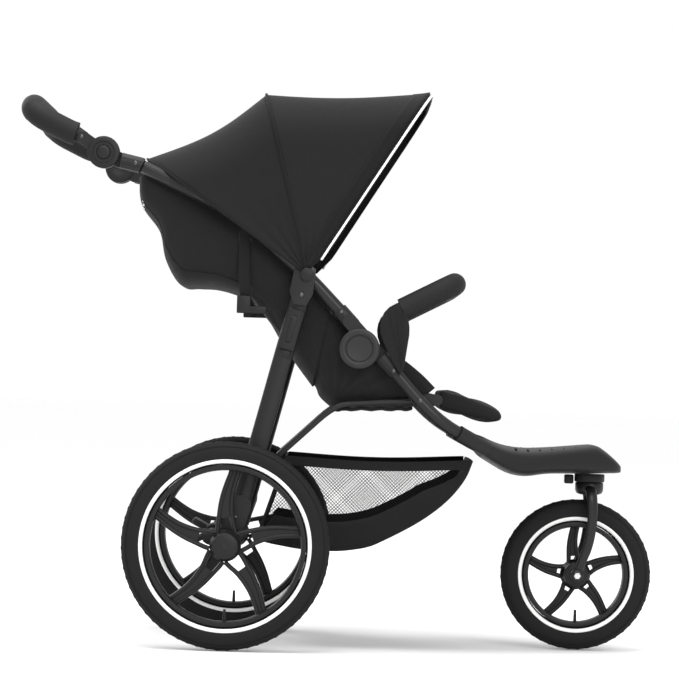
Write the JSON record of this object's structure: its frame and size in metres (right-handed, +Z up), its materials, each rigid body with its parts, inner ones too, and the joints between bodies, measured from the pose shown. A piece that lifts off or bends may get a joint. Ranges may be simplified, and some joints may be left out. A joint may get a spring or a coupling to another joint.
{
  "type": "baby stroller",
  "caption": "Three-wheeled baby stroller with spoked wheels, a swivelling front wheel, a folding frame, a hood on bows, a reclining seat, a padded bumper bar, a tilting handle and a basket.",
  "frame": {"origin": "on the floor, under the middle of the stroller's bounding box", "axes": "+X towards the front wheel, +Y towards the rider's left, +Z up"},
  "size_m": [1.2535, 0.664, 1.0924],
  "materials": {
    "rear_leg_right": "satin black",
    "rear_leg_left": "satin black",
    "axle_bracket_right": "satin black",
    "axle_bracket_left": "satin black",
    "rear_cross_tube": "satin black",
    "rear_right_rim": "fine-grained black moulding",
    "rear_right_tyre": "matt, with a pale reflective ring on the sidewall",
    "rear_left_rim": "fine-grained black moulding",
    "rear_left_tyre": "matt, with a pale reflective ring on the sidewall",
    "brake_pedal": "fine-grained black moulding",
    "upper_tube_right": "satin black",
    "upper_tube_left": "satin black",
    "upper_fold_casting_right": "fine-grained black moulding",
    "upper_fold_casting_left": "fine-grained black moulding",
    "leg_bracket_right": "satin black",
    "leg_bracket_left": "satin black",
    "handle_housing_right": "fine-grained black moulding",
    "handle_housing_left": "fine-grained black moulding",
    "hood_rear_panel": "matt woven polyester",
    "seat_side_right": "matt woven polyester",
    "seat_side_left": "matt woven polyester",
    "handle_arm_right": "fine-grained black moulding",
    "handle_arm_left": "fine-grained black moulding",
    "handle_grip": "matt foam with a fine grain",
    "handle_button_right": "fine-grained black moulding",
    "handle_button_left": "fine-grained black moulding",
    "hood_mid_bow": "fine-grained black moulding",
    "hood_front_panel": "matt woven polyester",
    "hood_front_bow": "fine-grained black moulding",
    "hood_brim": "matt woven polyester",
    "backrest": "matt woven polyester",
    "rear_pocket": "matt woven polyester",
    "lower_tube_right": "satin black",
    "lower_tube_left": "satin black",
    "lower_fold_casting_right": "fine-grained black moulding",
    "lower_fold_casting_left": "fine-grained black moulding",
    "pivot_plate_right": "satin black",
    "pivot_plate_left": "satin black",
    "footplate": "fine-grained black moulding",
    "steerer_housing": "fine-grained black moulding",
    "legrest_bar": "satin black",
    "basket": "matt woven polyester",
    "seat_rail_right": "satin black",
    "seat_rail_left": "satin black",
    "seat_rear_rod": "satin black",
    "seat_cushion": "matt woven polyester",
    "leg_rest": "matt woven polyester",
    "bumper_bar": "matt foam with a fine grain",
    "bumper_arm_right": "fine-grained black moulding",
    "bumper_arm_left": "fine-grained black moulding",
    "fork": "satin black",
    "front_axle": "plain",
    "front_rim": "fine-grained black moulding",
    "front_tyre": "matt, with a pale reflective ring on the sidewall",
    "swivel_lock": "fine-grained black moulding"
  },
  "bodies": {
    "rear_legs": {"rear_leg_right": "rear_leg_right", "rear_leg_left": "rear_leg_left", "axle_bracket_right": "axle_bracket_right", "axle_bracket_left": "axle_bracket_left", "rear_cross_tube": "rear_cross_tube"},
    "rear_right_wheel": {"rear_right_rim": "rear_right_rim", "rear_right_tyre": "rear_right_tyre"},
    "rear_left_wheel": {"rear_left_rim": "rear_left_rim", "rear_left_tyre": "rear_left_tyre"},
    "brake": {"brake_pedal": "brake_pedal"},
    "upper_frame": {"upper_tube_right": "upper_tube_right", "upper_tube_left": "upper_tube_left", "upper_fold_casting_right": "upper_fold_casting_right", "upper_fold_casting_left": "upper_fold_casting_left", "leg_bracket_right": "leg_bracket_right", "leg_bracket_left": "leg_bracket_left", "handle_housing_right": "handle_housing_right", "handle_housing_left": "handle_housing_left", "hood_rear_panel": "hood_rear_panel", "seat_side_right": "seat_side_right", "seat_side_left": "seat_side_left"},
    "handle": {"handle_arm_right": "handle_arm_right", "handle_arm_left": "handle_arm_left", "handle_grip": "handle_grip"},
    "handle_button_right": {"handle_button_right": "handle_button_right"},
    "handle_button_left": {"handle_button_left": "handle_button_left"},
    "hood_mid": {"hood_mid_bow": "hood_mid_bow", "hood_front_panel": "hood_front_panel"},
    "hood_front": {"hood_front_bow": "hood_front_bow", "hood_brim": "hood_brim"},
    "backrest": {"backrest": "backrest", "rear_pocket": "rear_pocket"},
    "front_frame": {"lower_tube_right": "lower_tube_right", "lower_tube_left": "lower_tube_left", "lower_fold_casting_right": "lower_fold_casting_right", "lower_fold_casting_left": "lower_fold_casting_left", "pivot_plate_right": "pivot_plate_right", "pivot_plate_left": "pivot_plate_left", "footplate": "footplate", "steerer_housing": "steerer_housing", "legrest_bar": "legrest_bar", "basket": "basket"},
    "seat": {"seat_rail_right": "seat_rail_right", "seat_rail_left": "seat_rail_left", "seat_rear_rod": "seat_rear_rod", "seat_cushion": "seat_cushion"},
    "leg_rest": {"leg_rest": "leg_rest"},
    "bumper": {"bumper_bar": "bumper_bar", "bumper_arm_right": "bumper_arm_right", "bumper_arm_left": "bumper_arm_left"},
    "fork": {"fork": "fork", "front_axle": "front_axle"},
    "front_wheel": {"front_rim": "front_rim", "front_tyre": "front_tyre"},
    "swivel_lock": {"swivel_lock": "swivel_lock"}
  },
  "joints": [
    {"name": "rear_leg_fold", "type": "hinge", "parent": "rear_legs", "child": "upper_frame", "pos_m": [-0.076, 0, 0.683], "axis": [0, -1, 0], "range_deg": [0, 78.2], "deforming": ["seat_side_right", "seat_side_left", "basket"]},
    {"name": "frame_fold", "type": "hinge", "parent": "upper_frame", "child": "front_frame", "pos_m": [0.0384, 0, 0.583], "axis": [0, 1, 0], "range_deg": [0, 130], "deforming": ["seat_side_right", "seat_side_left", "basket"]},
    {"name": "seat_fold", "type": "hinge", "parent": "front_frame", "child": "seat", "pos_m": [0.158, 0, 0.487], "axis": [0, -1, 0], "range_deg": [0, 86.8], "deforming": ["basket", "seat_side_right", "seat_side_left"]},
    {"name": "rear_right_wheel_spin", "type": "hinge", "parent": "rear_legs", "child": "rear_right_wheel", "pos_m": [-0.206, -0.3, 0.2], "axis": [0, 1, 0], "continuous": true},
    {"name": "rear_left_wheel_spin", "type": "hinge", "parent": "rear_legs", "child": "rear_left_wheel", "pos_m": [-0.206, 0.3, 0.2], "axis": [0, 1, 0], "continuous": true},
    {"name": "brake_rock", "type": "hinge", "parent": "rear_legs", "child": "brake", "pos_m": [-0.24, 0, 0.213], "axis": [0, 1, 0], "range_deg": [-12, 12]},
    {"name": "handle_tilt", "type": "hinge", "parent": "upper_frame", "child": "handle", "pos_m": [-0.463, 0, 0.945], "axis": [0, 1, 0], "range_deg": [-70, 45]},
    {"name": "handle_button_right_press", "type": "slide", "parent": "handle", "child": "handle_button_right", "axis": [0, 1, 0], "range_m": [0, 0.004], "stiffness_N_per_m": 400},
    {"name": "handle_button_left_press", "type": "slide", "parent": "handle", "child": "handle_button_left", "axis": [0, -1, 0], "range_m": [0, 0.004], "stiffness_N_per_m": 400},
    {"name": "hood_mid_fold", "type": "hinge", "parent": "upper_frame", "child": "hood_mid", "pos_m": [-0.066, 0, 0.722], "axis": [0, -1, 0], "range_deg": [-6, 36], "deforming": ["hood_rear_panel", "hood_front_panel"]},
    {"name": "hood_front_fold", "type": "hinge", "parent": "hood_mid", "child": "hood_front", "pos_m": [-0.066, 0, 0.722], "axis": [0, -1, 0], "range_deg": [-6, 36], "deforming": ["hood_rear_panel", "hood_front_panel"]},
    {"name": "backrest_recline", "type": "hinge", "parent": "upper_frame", "child": "backrest", "pos_m": [-0.005, 0, 0.475], "axis": [0, 1, 0], "range_deg": [-22, 0], "deforming": ["seat_side_right", "seat_side_left"]},
    {"name": "leg_rest_tilt", "type": "hinge", "parent": "front_frame", "child": "leg_rest", "pos_m": [0.19, 0, 0.489], "axis": [0, 1, 0], "range_deg": [0, 14]},
    {"name": "bumper_swing", "type": "hinge", "parent": "front_frame", "child": "bumper", "pos_m": [0.118, 0, 0.541], "axis": [0, 1, 0], "range_deg": [0, 45]},
    {"name": "front_swivel", "type": "hinge", "parent": "front_frame", "child": "fork", "pos_m": [0.505, 0, 0.334], "axis": [0, 0, 1], "continuous": true},
    {"name": "front_wheel_spin", "type": "hinge", "parent": "fork", "child": "front_wheel", "pos_m": [0.482, 0, 0.15], "axis": [0, 1, 0], "continuous": true},
    {"name": "swivel_lock_slide", "type": "slide", "parent": "front_frame", "child": "swivel_lock", "axis": [-1, 0, 0], "range_m": [0, 0.006]}
  ],
  "couplings": [
    {"joint": "rear_leg_fold", "follows": "frame_fold", "ratio": 0.6015},
    {"joint": "seat_fold", "follows": "frame_fold", "ratio": 0.6677},
    {"joint": "hood_mid_fold", "follows": "hood_front_fold", "ratio": 1}
  ]
}
